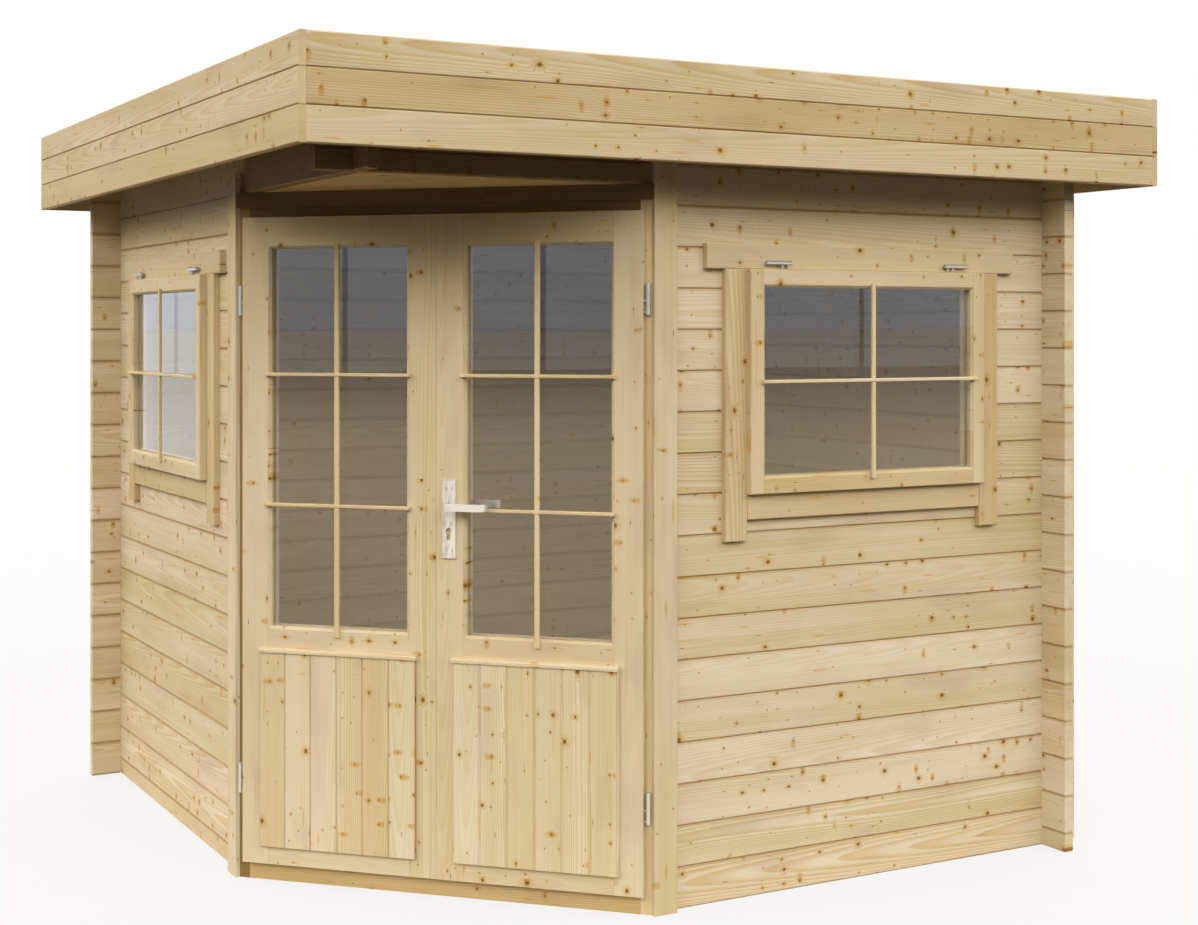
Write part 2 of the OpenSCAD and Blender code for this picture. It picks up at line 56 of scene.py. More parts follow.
# Spacing of the rows of boards and where some rows start, and a row that holds one piece whole
LOG_ROW = 0.114
HALF_ROW = LOG_ROW / 2
FASCIA_ROW = 0.090
ROOF_ROW = 0.088
PURLIN_ROW = 0.5775
PURLIN_INSET = 0.28
FLOOR_ROW = 0.087
JOIST_ROW = 0.55
PANEL_ROW = 0.080
SOFFIT_ROW = 1.2
SOFFIT_START = -1.9
ONE_PIECE = 1.0

# Width of the shade that a seam draws on each side of it
LOG_SEAM = 0.008
BACK_SEAM = 0.012
FASCIA_SEAM = 0.0035
PANEL_SEAM = 0.0012

# Where the front and left faces are: the logs' and the fascia boards'
WALL_FACE = -1.155
FASCIA_FACE = -1.38

# Joinery: how far the panes reach into their grooves, the bevel round each opening, how far past it the
# leaves' and casings' stiles start, the cap on a door panel and its number, the head board over a window,
# how far the sash laps the boards beside it, and a height past every head
GROOVE = 0.0077
BEVEL = 0.007
LEAF_STEP = 0.002
CASING_STEP = 0.013
PANEL_CAP = 0.012
CAP_BOARD = 9
TRIM_HEAD = 0.0701
TRIM_LAP = 0.004
NO_HEAD = 10.0

# Glazing bars: depth, the widths of their faces, the rounding of their edges, how far the level ones
# stand before the upright one, and how far from its middle the upright one's grain goes
BAR_DEPTH = 0.010
LEAF_BAR_FACE = 0.0145
WINDOW_BAR_FACE = 0.0135
BAR_EASE = 0.0024
BAR_STAGGER = 0.0004
UPRIGHT_REACH = 0.0074


def doorway(point):
    """A point's place on the doors' axes, measured from the middle between the hinges."""
    away = Vector(point) - DOOR_MIDDLE
    return Vector((away.dot(ACROSS), away.dot(INWARD), point[2]))


def doorway_box(node):
    """Lowest and highest corner of a CAD node on the doors' axes."""
    points = [doorway(vertex.co) for vertex in nodes[node].data.vertices]
    low = Vector([min(p[axis] for p in points) for axis in range(3)])
    high = Vector([max(p[axis] for p in points) for axis in range(3)])
    return low, high


DOOR_TO_ROW = Matrix.Translation((DOOR_MIDDLE.x, DOOR_MIDDLE.y, 0)) @ Matrix.Rotation(-DOOR_TURN, 4, "Z")


def srgb(red, green, blue):
    """A colour given as 0 to 255 on the screen, as linear light."""
    def linear(value):
        share = value / 255
        return share / 12.92 if share <= 0.04045 else ((share + 0.055) / 1.055) ** 2.4
    return (linear(red), linear(green), linear(blue), 1.0)


# Node trees

class Graph:
    """Short words for wiring one node tree."""

    def __init__(self, tree):
        self.tree = tree

    def node(self, kind, inputs=None, **settings):
        """A node with its settings; an input is a value, or the output that feeds it."""
        made = self.tree.nodes.new(kind)
        for key, value in settings.items():
            setattr(made, key, value)
        for key, value in (inputs or {}).items():
            self.feed(value, made.inputs[key] if isinstance(key, int) else usable(made.inputs, key))
        return made

    def feed(self, value, socket):
        if isinstance(value, bpy.types.NodeSocket):
            self.tree.links.new(value, socket)
        else:
            socket.default_value = value

    def maths(self, operation, a, b=0.0, c=0.0, clamp=False):
        return self.node("ShaderNodeMath", {0: a, 1: b, 2: c}, operation=operation,
                         use_clamp=clamp).outputs[0]

    def plus(self, a, b):
        return self.maths("ADD", a, b)

    def minus(self, a, b):
        return self.maths("SUBTRACT", a, b)

    def times(self, a, b):
        return self.maths("MULTIPLY", a, b)

    def over(self, a, b):
        return self.maths("DIVIDE", a, b)

    def times_plus(self, a, b, c):
        return self.maths("MULTIPLY_ADD", a, b, c)

    def below(self, a, b):
        return self.maths("LESS_THAN", a, b)

    def above(self, a, b):
        return self.maths("GREATER_THAN", a, b)

    def step(self, value, start, end):
        """0 at start to 1 at end, eased."""
        return self.node("ShaderNodeMapRange", {"Value": value, "From Min": start, "From Max": end},
                         interpolation_type="SMOOTHSTEP").outputs["Result"]

    def vector(self, x, y, z=0.0):
        return self.node("ShaderNodeCombineXYZ", {"X": x, "Y": y, "Z": z}).outputs[0]

    def split(self, value):
        made = self.node("ShaderNodeSeparateXYZ", {0: value})
        return made.outputs["X"], made.outputs["Y"], made.outputs["Z"]

    def scaled(self, value, by):
        return self.node("ShaderNodeVectorMath", {0: value, 1: by}, operation="MULTIPLY").outputs[0]

    def length(self, x, y):
        return self.node("ShaderNodeVectorMath", {0: self.vector(x, y)}, operation="LENGTH").outputs["Value"]

    def mix(self, share, a, b, kind="RGBA", **settings):
        made = self.node("ShaderNodeMix", {"Factor": share, "A": a, "B": b}, data_type=kind, **settings)
        return usable(made.outputs, "Result")

    def blend(self, share, a, b):
        """Colour a where share is 0 and b where it is 1."""
        return self.mix(share, a, b)

    def tint(self, share, colour, by):
        """The colour multiplied by another, by that share."""
        return self.mix(share, colour, by, blend_type="MULTIPLY")

    def choose(self, share, a, b):
        return self.mix(share, a, b, kind="FLOAT")

    def noise(self, place, detail=2.0, roughness=0.5):
        return self.node("ShaderNodeTexNoise", {"Vector": place, "Scale": 1.0, "Detail": detail,
                                                "Roughness": roughness}).outputs["Fac"]

    def random(self, number):
        """Three random numbers that belong to one number."""
        made = self.node("ShaderNodeTexWhiteNoise", {"W": number}, noise_dimensions="1D")
        return self.split(made.outputs["Color"])

    def use(self, group, **inputs):
        """A group's node; an underscore in a keyword stands for a space in the socket's name."""
        made = self.tree.nodes.new("ShaderNodeGroup")
        made.node_tree = group
        for key, value in inputs.items():
            self.feed(value, made.inputs[key.replace("_", " ")])
        return made.outputs


def usable(sockets, name):
    """The socket of that name that is on: a Mix node has several under each name."""
    found = [s for s in sockets if s.name == name and s.enabled]
    return found[0] if found else sockets[name]


def new_material(name):
    """A material with its node graph and its Principled shader."""
    material = bpy.data.materials.new(name)
    material.use_nodes = True
    return material, Graph(material.node_tree), material.node_tree.nodes["Principled BSDF"]


def new_group(name, inputs, outputs):
    """An empty shader group with its sockets: its graph, its inputs and its outputs by name."""
    tree = bpy.data.node_groups.new(name, "ShaderNodeTree")
    kinds = {"value": "NodeSocketFloat", "vector": "NodeSocketVector", "colour": "NodeSocketColor"}
    for socket_name, kind, default in inputs:
        made = tree.interface.new_socket(socket_name, in_out="INPUT", socket_type=kinds[kind])
        if default is not None:
            made.default_value = default
    for socket_name, kind in outputs:
        tree.interface.new_socket(socket_name, in_out="OUTPUT", socket_type=kinds[kind])
    return Graph(tree), tree.nodes.new("NodeGroupInput").outputs, tree.nodes.new("NodeGroupOutput").inputs


# Camera: level, at standing eye height, before the doors' corner, with its lens shifted down

CAMERA_PLACE = (-2.83425, -5.43939, 1.59695)
CAMERA_TURN = math.radians(-28.47)
FOCAL_LENGTH = 54.78
SENSOR_WIDTH = 36
LENS_SHIFT = (0.0168, -0.1111)


def make_camera():
    data = bpy.data.cameras.new("camera")
    camera = bpy.data.objects.new("camera", data)
    bpy.context.scene.collection.objects.link(camera)
    camera.location = CAMERA_PLACE
    camera.rotation_euler = (math.radians(90), 0, CAMERA_TURN)
    data.sensor_width = SENSOR_WIDTH
    data.lens = FOCAL_LENGTH
    data.shift_x, data.shift_y = LENS_SHIFT
    bpy.context.scene.camera = camera


# Light: a soft studio sky, bright well above the horizon, over a pale floor that throws little back

SKY_LEVEL = 4.5
HORIZON_SHARE = 0.02
OVERHEAD_DIMMING = 0.85
WARM_LIGHT = (1.0, 0.86, 0.62, 1)
WHITE = (1, 1, 1, 1)

# What panes mirror, in front of the cabin and in the bright part beyond its left wall
BACK_LEFT = (-0.27, 0.96, 0)
PANE_HEIGHT = 1.4
SKY, BRIGHT_SKY = (0.48, 0.63, 0.80, 1), (1.22, 1.30, 1.42, 1)
FAR_GROUND, BRIGHT_FAR_GROUND = (0.59, 0.53, 0.50, 1), (1.30, 1.29, 1.22, 1)
NEAR_GROUND, BRIGHT_NEAR_GROUND = (2.12, 1.75, 1.22, 1), (1.68, 1.62, 1.56, 1)
FAR_SIDE = (0.30, 0.25, 0.17, 1)

# The floor: its reach, its own white by the house, its shadow's share, and what it throws back
FLOOR_REACH = 60
FLOOR_DROP = 0.001
FLOOR_WHITE = (0.985, 0.985, 0.985, 1)
FLOOR_SHADOW = 0.2
FLOOR_GREY = (0.60, 0.60, 0.60, 1)
BY_THE_WALL, OUT_ON_THE_FLOOR = (0.33, 0.32, 0.29, 1), (0.04, 0.04, 0.04, 1)
HALF_HOUSE = 1.15


def make_surroundings():
    """What glass and metal mirror: a cool sky over a warm floor that dims toward the horizon, all of it
    brighter beyond the left wall. Nearness is 1 over the floor's distance, and 0 or less is the sky."""
    g, given, result = new_group("mirrored surroundings",
                                 [("Direction", "vector", None), ("Nearness", "value", 0.0)],
                                 [("Color", "colour")])
    toward = g.node("ShaderNodeVectorMath", {0: given["Direction"], 1: BACK_LEFT},
                    operation="DOT_PRODUCT").outputs["Value"]
    bright = g.step(toward, 0.80, 0.97)
    sky = g.blend(bright, SKY, BRIGHT_SKY)
    far = g.blend(bright, FAR_GROUND, BRIGHT_FAR_GROUND)
    near = g.blend(bright, NEAR_GROUND, BRIGHT_NEAR_GROUND)
    ground = g.blend(g.step(given["Nearness"], 0.004, 0.05), far, near)
    g.feed(g.blend(g.above(given["Nearness"], 0.0), sky, ground), result["Color"])
    return g.tree


SURROUNDINGS = make_surroundings()


def make_sky():
    world = bpy.data.worlds.new("sky")
    bpy.context.scene.world = world
    world.use_nodes = True
    world.node_tree.nodes.clear()
    g = Graph(world.node_tree)
    direction = g.node("ShaderNodeTexCoord").outputs["Generated"]
    climb = g.split(direction)[2]
    level = g.times_plus(g.step(climb, 0.11, 0.46), 1 - HORIZON_SHARE, HORIZON_SHARE)
    overhead = g.times_plus(g.step(climb, 0.4, 0.8), -OVERHEAD_DIMMING, 1.0)
    level = g.times(g.times(level, overhead), SKY_LEVEL)
    warm_to_white = g.blend(g.step(climb, 0.2, 0.7), WARM_LIGHT, WHITE)
    lit = g.node("ShaderNodeBackground", {"Color": warm_to_white, "Strength": level})
    around = g.use(SURROUNDINGS, Direction=direction, Nearness=g.times(climb, -1 / PANE_HEIGHT))["Color"]
    seen, mirrored, far_side = how_seen(g)
    plain = g.blend(far_side, g.blend(mirrored, WHITE, around), FAR_SIDE)
    white = g.node("ShaderNodeBackground", {"Color": plain, "Strength": 1.0})
    both = g.node("ShaderNodeMixShader", {0: seen, 1: lit.outputs[0], 2: white.outputs[0]})
    g.node("ShaderNodeOutputWorld", {"Surface": both.outputs[0]})


def how_seen(g):
    """Marks for what the eye sees, also by way of glass or metal: all of it, where it is mirrored, and
    where it came through glass after an odd number of turns at its surfaces. On the floor that is what
    the far side of a pane mirrors. The sky counts one turn more, so there it is what shows straight
    through a pane."""
    path = g.node("ShaderNodeLightPath").outputs
    through = path["Is Transmission Ray"]
    seen = g.maths("MAXIMUM", g.maths("MAXIMUM", path["Is Camera Ray"], path["Is Glossy Ray"]), through)
    odd = g.maths("MODULO", path["Ray Depth"], 2.0)
    return seen, g.times(path["Is Glossy Ray"], g.minus(1.0, through)), g.times(through, odd)


def make_floor():
    """A pale floor. What is seen of it is mostly its own white, and the rest takes the house's shadow."""
    signs = ((-1, -1), (1, -1), (1, 1), (-1, 1))
    corners = [(x * FLOOR_REACH, y * FLOOR_REACH, -FLOOR_DROP) for x, y in signs]
    mesh = bpy.data.meshes.new("floor")
    mesh.from_pydata(corners, [], [(0, 1, 2, 3)])
    floor = bpy.data.objects.new("floor", mesh)
    bpy.context.scene.collection.objects.link(floor)
    material, g, shader = new_material("pale floor")
    g.tree.nodes.remove(shader)
    point = g.node("ShaderNodeTexCoord").outputs["Object"]
    away = g.length(*g.split(point)[:2])
    outward = g.node("ShaderNodeVectorMath", {0: point}, operation="NORMALIZE").outputs[0]
    far = g.step(away, 5.0, 25.0)
    seen, mirrored, far_side = how_seen(g)
    around = g.use(SURROUNDINGS, Direction=outward, Nearness=g.over(1.0, away))["Color"]
    own_white = g.blend(mirrored, g.blend(far, FLOOR_WHITE, WHITE), around)
    plain = g.node("ShaderNodeEmission", {"Color": g.blend(far_side, own_white, FAR_SIDE), "Strength": 1.0})
    shadowed = g.node("ShaderNodeBsdfDiffuse", {"Color": FLOOR_GREY})
    shadow_share = g.times(g.minus(1.0, g.maths("MAXIMUM", far, g.plus(mirrored, far_side))), FLOOR_SHADOW)
    top = g.node("ShaderNodeMixShader", {0: shadow_share, 1: plain.outputs[0], 2: shadowed.outputs[0]})
    x, y, _ = g.split(point)
    gap_x = g.maths("MAXIMUM", g.minus(g.maths("ABSOLUTE", x), HALF_HOUSE), 0.0)
    gap_y = g.maths("MAXIMUM", g.minus(g.maths("ABSOLUTE", y), HALF_HOUSE), 0.0)
    near = g.step(g.length(gap_x, gap_y), 0.8, 0.0)
    dim = g.node("ShaderNodeBsdfDiffuse", {"Color": g.blend(near, OUT_ON_THE_FLOOR, BY_THE_WALL)})
    both = g.node("ShaderNodeMixShader", {0: seen, 1: dim.outputs[0], 2: top.outputs[0]})
    g.feed(both.outputs[0], g.tree.nodes["Material Output"].inputs["Surface"])
    mesh.materials.append(material)


# Spruce, and how its boards are laid

def make_board_rows():
    """Boards side by side: sets each one's pattern apart from its neighbours', and marks the seams."""
    g, given, result = new_group(
        "board rows",
        [("Point", "vector", None), ("Row", "value", LOG_ROW), ("First", "value", 0.0),
         ("Seam", "value", LOG_SEAM), ("Set", "value", 0.0)],
        [("Place", "vector"), ("Board", "value"), ("Seam", "value")],
    )
    along, across, depth = g.split(given["Point"])
    rows = g.over(g.minus(across, given["First"]), given["Row"])
    number = g.maths("FLOOR", rows)
    off_middle = g.times(g.minus(g.minus(rows, number), 0.5), given["Row"])
    g.feed(g.vector(along, off_middle, depth), result["Place"])
    g.feed(g.plus(number, given["Set"]), result["Board"])
    to_seam = g.minus(g.times(given["Row"], 0.5), g.maths("ABSOLUTE", off_middle))
    g.feed(g.step(to_seam, given["Seam"], 0.0), result["Seam"])
    return g.tree


def make_joined_frame():
    """Stiles with rails between them: turns the grain along each, and marks the joints."""
    g, given, result = new_group(
        "joined frame",
        [("Point", "vector", None), ("Middle", "value", 0.0), ("Half opening", "value", 0.3),
         ("Foot", "value", 0.0), ("Height", "value", 1.0), ("Head", "value", NO_HEAD), ("Set", "value", 0.0)],
        [("Place", "vector"), ("Board", "value"), ("Seam", "value")],
    )
    aside, up, depth = g.split(given["Point"])
    off_middle = g.minus(aside, given["Middle"])
    past = g.minus(g.maths("ABSOLUTE", off_middle), given["Half opening"])
    under_head = g.below(up, given["Head"])
    upright = g.times(g.above(past, 0.0), under_head)
    g.feed(g.vector(g.choose(upright, aside, up), g.choose(upright, up, aside), depth), result["Place"])
    quarter = g.over(g.minus(up, given["Foot"]), given["Height"])
    rail = g.maths("FLOOR", g.times(quarter, 3.999))
    stile = g.plus(g.maths("SIGN", off_middle), 8.0)
    g.feed(g.plus(g.choose(upright, rail, stile), given["Set"]), result["Board"])
    joint = g.step(g.maths("ABSOLUTE", past), 0.0011, 0.0002)
    g.feed(g.times(g.times(joint, under_head), 0.5), result["Seam"])
    return g.tree


def spots(g, along, across, board, spacing, share):
    """A mark in some cells of a loose lattice: its offset along and across, if it's there, and two
    random numbers."""
    place = g.vector(g.over(along, spacing[0]), g.times_plus(across, 1 / spacing[1], g.times(board, 5.37)))
    cell = g.node("ShaderNodeTexVoronoi", {"Vector": place, "Scale": 1.0, "Randomness": 0.85},
                  voronoi_dimensions="2D").outputs
    off = g.node("ShaderNodeVectorMath", {0: place, 1: cell["Position"]}, operation="SUBTRACT").outputs[0]
    off_along, off_across, _ = g.split(g.scaled(off, (spacing[0], spacing[1], 0)))
    chance, size, kind = g.split(cell["Color"])
    return off_along, off_across, g.below(chance, share), size, kind


def knots(g, along, across, board, share):
    """Small knots with a dark heart, come in whorls; some have an ochre smear that runs across the grain."""
    whorl = g.noise(g.vector(g.times(along, 3.4), g.times(board, 7.7)), 1.0)
    often = g.times(g.times_plus(g.step(whorl, 0.45, 0.62), 1.5, 0.35), share)
    off_along, off_across, there, size, kind = spots(g, along, across, board, (0.066, 0.036), often)
    rough_edge = g.noise(g.vector(g.times(along, 260.0), g.times(across, 260.0)), 2.0)
    ripple = g.times_plus(rough_edge, 0.0034, -0.0017)
    radius = g.times_plus(g.maths("POWER", size, 3.5), 0.0060, 0.0015)
    far = g.over(g.plus(g.length(g.over(off_along, 1.2), off_across), ripple), radius)
    halo = g.step(far, 3.4, 1.0)
    tail = g.plus(off_across, g.times_plus(kind, 0.1, -0.088))
    comet = g.length(g.over(off_along, 0.0105), g.over(tail, 0.021))
    mottled = g.step(g.plus(comet, g.times_plus(rough_edge, 1.8, -0.9)), 1.1, 0.35)
    smear = g.times(g.times(mottled, g.above(kind, 0.68)), g.above(size, 0.3))
    line = g.length(g.over(off_along, 0.032), g.over(g.plus(off_across, g.times(ripple, 0.5)), 0.0022))
    smear = g.maths("MAXIMUM", smear, g.times(g.times(g.step(line, 1.0, 0.3), g.below(kind, 0.16)), 0.8))
    knot = g.step(far, 1.15, 0.75)
    heart = g.step(far, 0.68, 0.2)
    return [g.times(there, mark) for mark in (knot, heart, halo, smear)]


def bark_and_resin(g, along, across, board):
    """Short dark bark pockets and longer lenses of resin, both few."""
    off_along, off_across, there, size, kind = spots(g, along, across, board, (0.24, 0.05), 0.3)
    bark_far = g.length(g.over(off_along, g.times_plus(size, 0.008, 0.004)), g.over(off_across, 0.0011))
    resin_far = g.length(g.over(off_along, g.times_plus(size, 0.03, 0.02)), g.over(off_across, 0.0045))
    is_bark = g.above(kind, 0.45)
    bark = g.times(is_bark, g.step(bark_far, 1.1, 0.6))
    resin = g.times(g.minus(1.0, is_bark), g.step(resin_far, 1.0, 0.3))
    return g.times(there, bark), g.times(there, resin)


def growth_rings(g, here, along, across, depth, board, halo):
    """Late wood of the rings round a pith that lies aslant behind the board, pushed aside by the knots."""
    side, deep, slope = g.random(g.plus(board, 0.71))
    wander = g.noise(g.vector(g.times(along, 0.9), g.times(across, 4.0), g.times(depth, 4.0)), 2.0)
    pith_across = g.plus(g.times_plus(side, 0.17, -0.085), g.times_plus(wander, 0.05, -0.025))
    pith_depth = g.plus(g.times_plus(deep, 0.09, 0.02), g.times(g.times_plus(slope, 0.07, -0.035), here))
    radius = g.length(g.plus(across, pith_across), g.plus(depth, pith_depth))
    width = g.times_plus(side, 0.0028, 0.0030)
    rings = g.maths("FRACT", g.over(g.times_plus(halo, 0.007, radius), width))
    return g.times(g.step(rings, 0.15, 0.85), g.step(rings, 1.0, 0.9))


def streaks(g, along, across, depth, length_scale, width_scale, detail=2.0, roughness=0.5):
    """Noise drawn out along the grain."""
    place = g.vector(g.times(along, length_scale), g.times(across, width_scale), g.times(depth, width_scale))
    return g.noise(place, detail, roughness)


def make_spruce():
    """Planed spruce: rings, streaks, soft tone changes, knots, bark pockets and resin."""
    g, given, result = new_group(
        "spruce",
        [("Place", "vector", None), ("Board", "value", 0.0), ("Seam", "value", 0.0),
         ("Pale", "colour", (1, 1, 1, 1)), ("Warm", "colour", (1, 1, 1, 1)),
         ("Knots", "value", 0.4), ("Grain", "value", 1.0), ("Tone", "value", 1.0)],
        [("Color", "colour"), ("Roughness", "value"), ("Height", "value")],
    )
    here, across, depth = g.split(given["Place"])
    board = given["Board"]
    pick, tone, rosy = g.random(g.plus(board, 77.7))
    along = g.times_plus(pick, 31.0, here)
    knot, heart, halo, smear = knots(g, along, across, board, given["Knots"])
    bark, resin = bark_and_resin(g, along, across, board)
    late = growth_rings(g, here, along, across, depth, board, halo)

    # Tone: each board's own, drifting along it, with fine and broad streaks
    fine = streaks(g, along, across, depth, 1.6, 95.0, 3.0, 0.6)
    broad = streaks(g, along, across, depth, 0.7, 24.0)
    drift = streaks(g, along, across, depth, 1.1, 5.0)
    cloud = streaks(g, g.plus(along, 57.0), across, depth, 3.1, 9.0)
    own = g.times(g.times_plus(tone, 0.7, -0.35), given["Tone"])
    warmth = g.plus(g.times_plus(fine, 0.8, -0.4), g.times_plus(broad, 0.9, -0.45))
    warmth = g.plus(g.times_plus(warmth, given["Grain"], 0.42), g.plus(own, g.times_plus(drift, 1.6, -0.8)))
    colour = g.blend(g.maths("ADD", warmth, 0.0, clamp=True), given["Pale"], given["Warm"])
    colour = g.tint(g.times(rosy, 0.5), colour, srgb(254, 245, 243))
    colour = g.tint(g.times(g.step(cloud, 0.5, 0.72), 0.8), colour, srgb(243, 238, 240))
    ring_share = g.times(given["Grain"], g.times_plus(pick, 0.6, 0.2))
    colour = g.tint(g.times(late, ring_share), colour, srgb(237, 221, 188))
    ochre = g.step(streaks(g, along, across, depth, 2.6, 60.0), 0.62, 0.76)
    colour = g.tint(g.times(ochre, 0.6), colour, srgb(246, 230, 190))

    # Marks
    colour = g.tint(g.times(halo, 0.6), colour, srgb(240, 222, 180))
    colour = g.tint(g.times(smear, 0.75), colour, srgb(234, 206, 148))
    colour = g.tint(g.times(resin, 0.7), colour, srgb(247, 215, 160))
    colour = g.blend(g.times(knot, 0.85), colour, srgb(156, 118, 66))
    colour = g.blend(g.times(heart, 0.85), colour, srgb(92, 62, 34))
    colour = g.blend(g.times(bark, 0.85), colour, srgb(84, 58, 36))
    # Seams and joints: a darker line, partly the joint's own colour and partly painted shade in the groove
    colour = g.tint(g.times(given["Seam"], 0.8), colour, srgb(204, 185, 155))
    g.feed(colour, result["Color"])

    rough = g.times_plus(late, -0.08, 0.66)
    g.feed(g.times_plus(knot, -0.2, rough), result["Roughness"])
    height = g.times_plus(late, 0.5, g.times(fine, 0.6))
    g.feed(g.times_plus(knot, -0.6, height), result["Height"])
    return g.tree


def tones(pale, warm):
    """The palest and the warmest colour of a piece's spruce."""
    return {"pale": srgb(*pale), "warm": srgb(*warm)}


LOG_TONES = tones((228, 218, 199), (206, 193, 153))
FASCIA_TONES = tones((215, 203, 174), (197, 182, 139))
# Painted shade: roof boards and purlins darker than the walls, standing for the shade under the roof
ROOF_SHADE_TONES = tones((190, 172, 136), (172, 150, 106))
SOFFIT_TONES = tones((216, 192, 146), (198, 168, 114))
# Painted shade: the top logs' darker tones where they pass under the roof over the doors' corner
BEAM_SHADE_TONES = tones((152, 132, 96), (132, 110, 70))
# Painted shade: dark tones for the door head and lintel, standing for the shade under the roof
DOOR_HEAD_SHADE_TONES = tones((134, 115, 84), (118, 97, 62))
JAMB_TONES = tones((229, 215, 182), (212, 195, 152))
# Painted shade: the jambs' tones where the left leaf's edge keeps them in shade
JAMB_SHADE_TONES = tones((164, 142, 100), (142, 118, 74))
THRESHOLD_TONES = tones((216, 199, 162), (196, 172, 122))
LEAF_TONES = tones((224, 213, 188), (210, 196, 159))
PANEL_TONES = tones((226, 216, 192), (211, 198, 159))
SASH_TONES = tones((224, 212, 187), (208, 192, 150))
TRIM_TONES = tones((218, 204, 175), (202, 185, 142))
BAR_TONES = tones((232, 219, 190), (216, 200, 158))
FLOOR_TONES = tones((214, 194, 154), (206, 193, 153))

BOARD_ROWS = make_board_rows()
JOINED_FRAME = make_joined_frame()
SPRUCE = make_spruce()


# Wood materials. A piece's number, the Set of its boards, keeps its pattern apart from the other pieces'.

def object_point(g, door=False):
    """The object's own coordinates, or for the doors' corner those of the doors' axes."""
    point = g.node("ShaderNodeTexCoord").outputs["Object"]
    if door:
        turned = Matrix.Rotation(DOOR_TURN, 3, "Z") @ Vector((DOOR_MIDDLE.x, DOOR_MIDDLE.y, 0))
        point = g.node("ShaderNodeMapping", {"Vector": point, "Location": -turned,
                                             "Rotation": (0, 0, DOOR_TURN)}).outputs[0]
    return dict(zip("xyz", g.split(point)))


def finish_wood(g, shader, place, board, seam, pale=LOG_TONES["pale"], warm=LOG_TONES["warm"], knots=0.4,
                grain=1.0, tone=1.0):
    wood = g.use(SPRUCE, Place=place, Board=board, Seam=seam, Pale=pale, Warm=warm, Knots=knots,
                 Grain=grain, Tone=tone)
    bump = g.node("ShaderNodeBump", {"Height": wood["Height"], "Strength": 0.5, "Distance": 0.0006})
    g.feed(wood["Color"], shader.inputs["Base Color"])
    g.feed(wood["Roughness"], shader.inputs["Roughness"])
    g.feed(bump.outputs[0], shader.inputs["Normal"])
    shader.inputs["Specular IOR Level"].default_value = 0.12


def boards(name, along, across, row, first=0.0, face=0.0, door=False, number=0.0, seam=LOG_SEAM, **finish):
    """Wood of boards side by side: grain along one axis, rows counted along another, the surface at that
    depth."""
    material, g, shader = new_material(name)
    point = object_point(g, door)
    depth = next(axis for axis in "xyz" if axis not in (along, across))
    laid = g.vector(point[along], point[across], g.minus(point[depth], face))
    rows = g.use(BOARD_ROWS, Point=laid, Row=row, First=first, Seam=seam, Set=number)
    finish_wood(g, shader, rows["Place"], rows["Board"], rows["Seam"], **finish)
    return material


def joinery(name, aside, middle, half_opening, foot, height, head=NO_HEAD, face=0.0, door=False, number=0.0,
            **finish):
    """Wood of a frame, with upright grain in the stiles and level grain in the rails and, above that
    height, in the head."""
    material, g, shader = new_material(name)
    point = object_point(g, door)
    depth = "x" if aside == "y" else "y"
    laid = g.vector(point[aside], point["z"], g.minus(point[depth], face))
    frame_at = g.use(JOINED_FRAME, Point=laid, Middle=middle, Half_opening=half_opening,
                     Foot=foot, Height=height, Head=head, Set=number)
    finish_wood(g, shader, frame_at["Place"], frame_at["Board"], frame_at["Seam"], **finish)
    return material


def panel_boards(name, first, cap_foot, number, **finish):
    """Upright boards with a level cap over them, which takes a board of its own, past the last one."""
    material, g, shader = new_material(name)
    point = object_point(g, True)
    laid = g.vector(point["z"], point["x"], point["y"])
    rows = g.use(BOARD_ROWS, Point=laid, Row=PANEL_ROW, First=first, Seam=PANEL_SEAM, Set=number)
    cap = g.above(point["z"], cap_foot)
    place = g.mix(cap, rows["Place"], g.vector(point["x"], point["z"], point["y"]), kind="VECTOR")
    board = g.choose(cap, rows["Board"], number + CAP_BOARD)
    finish_wood(g, shader, place, board, g.times(rows["Seam"], g.minus(1.0, cap)), **finish)
    return material


def bar_wood(name, aside, middle, number, door=False):
    """Wood of glazing bars: grain along the upright one and along the level ones."""
    material, g, shader = new_material(name)
    point = object_point(g, door)
    depth = point["x" if aside == "y" else "y"]
    upright = g.below(g.maths("ABSOLUTE", g.minus(point[aside], middle)), UPRIGHT_REACH)
    level_grain = g.vector(point[aside], point["z"], depth)
    upright_grain = g.vector(point["z"], point[aside], depth)
    place = g.mix(upright, level_grain, upright_grain, kind="VECTOR")
    finish_wood(g, shader, place, g.plus(upright, number), 0.0, knots=0.05, tone=0.4, **BAR_TONES)
    return material


def give(node_name, material):
    """Puts a material on every slot of a CAD node."""
    mesh = nodes[node_name].data
    mesh.materials.clear()
    mesh.materials.append(material)


def shaded(g, shade, open_tones, shade_tones):
    """Tones that pass from the one pair to the other where the painted shade is."""
    return {key: g.blend(shade, open_tones[key], shade_tones[key]) for key in ("pale", "warm")}


def beam_wood(name, along, post, number):
    """A wall's top log with the roof's shade painted in: darker where it passes over the doors' corner."""
    material, g, shader = new_material(name)
    point = object_point(g)
    depth = g.minus(point["x" if along == "y" else "y"], WALL_FACE)
    rows = g.use(BOARD_ROWS, Point=g.vector(point[along], point["z"], depth), Row=LOG_ROW,
                 First=0.0 if along == "x" else HALF_ROW, Set=number)
    # Painted shade: the log turns to its darker tones where it passes over the doors' corner
    shade = g.step(point[along], post + 0.03, post - 0.03)
    finish_wood(g, shader, rows["Place"], rows["Board"], rows["Seam"],
                **shaded(g, shade, LOG_TONES, BEAM_SHADE_TONES))
    return material


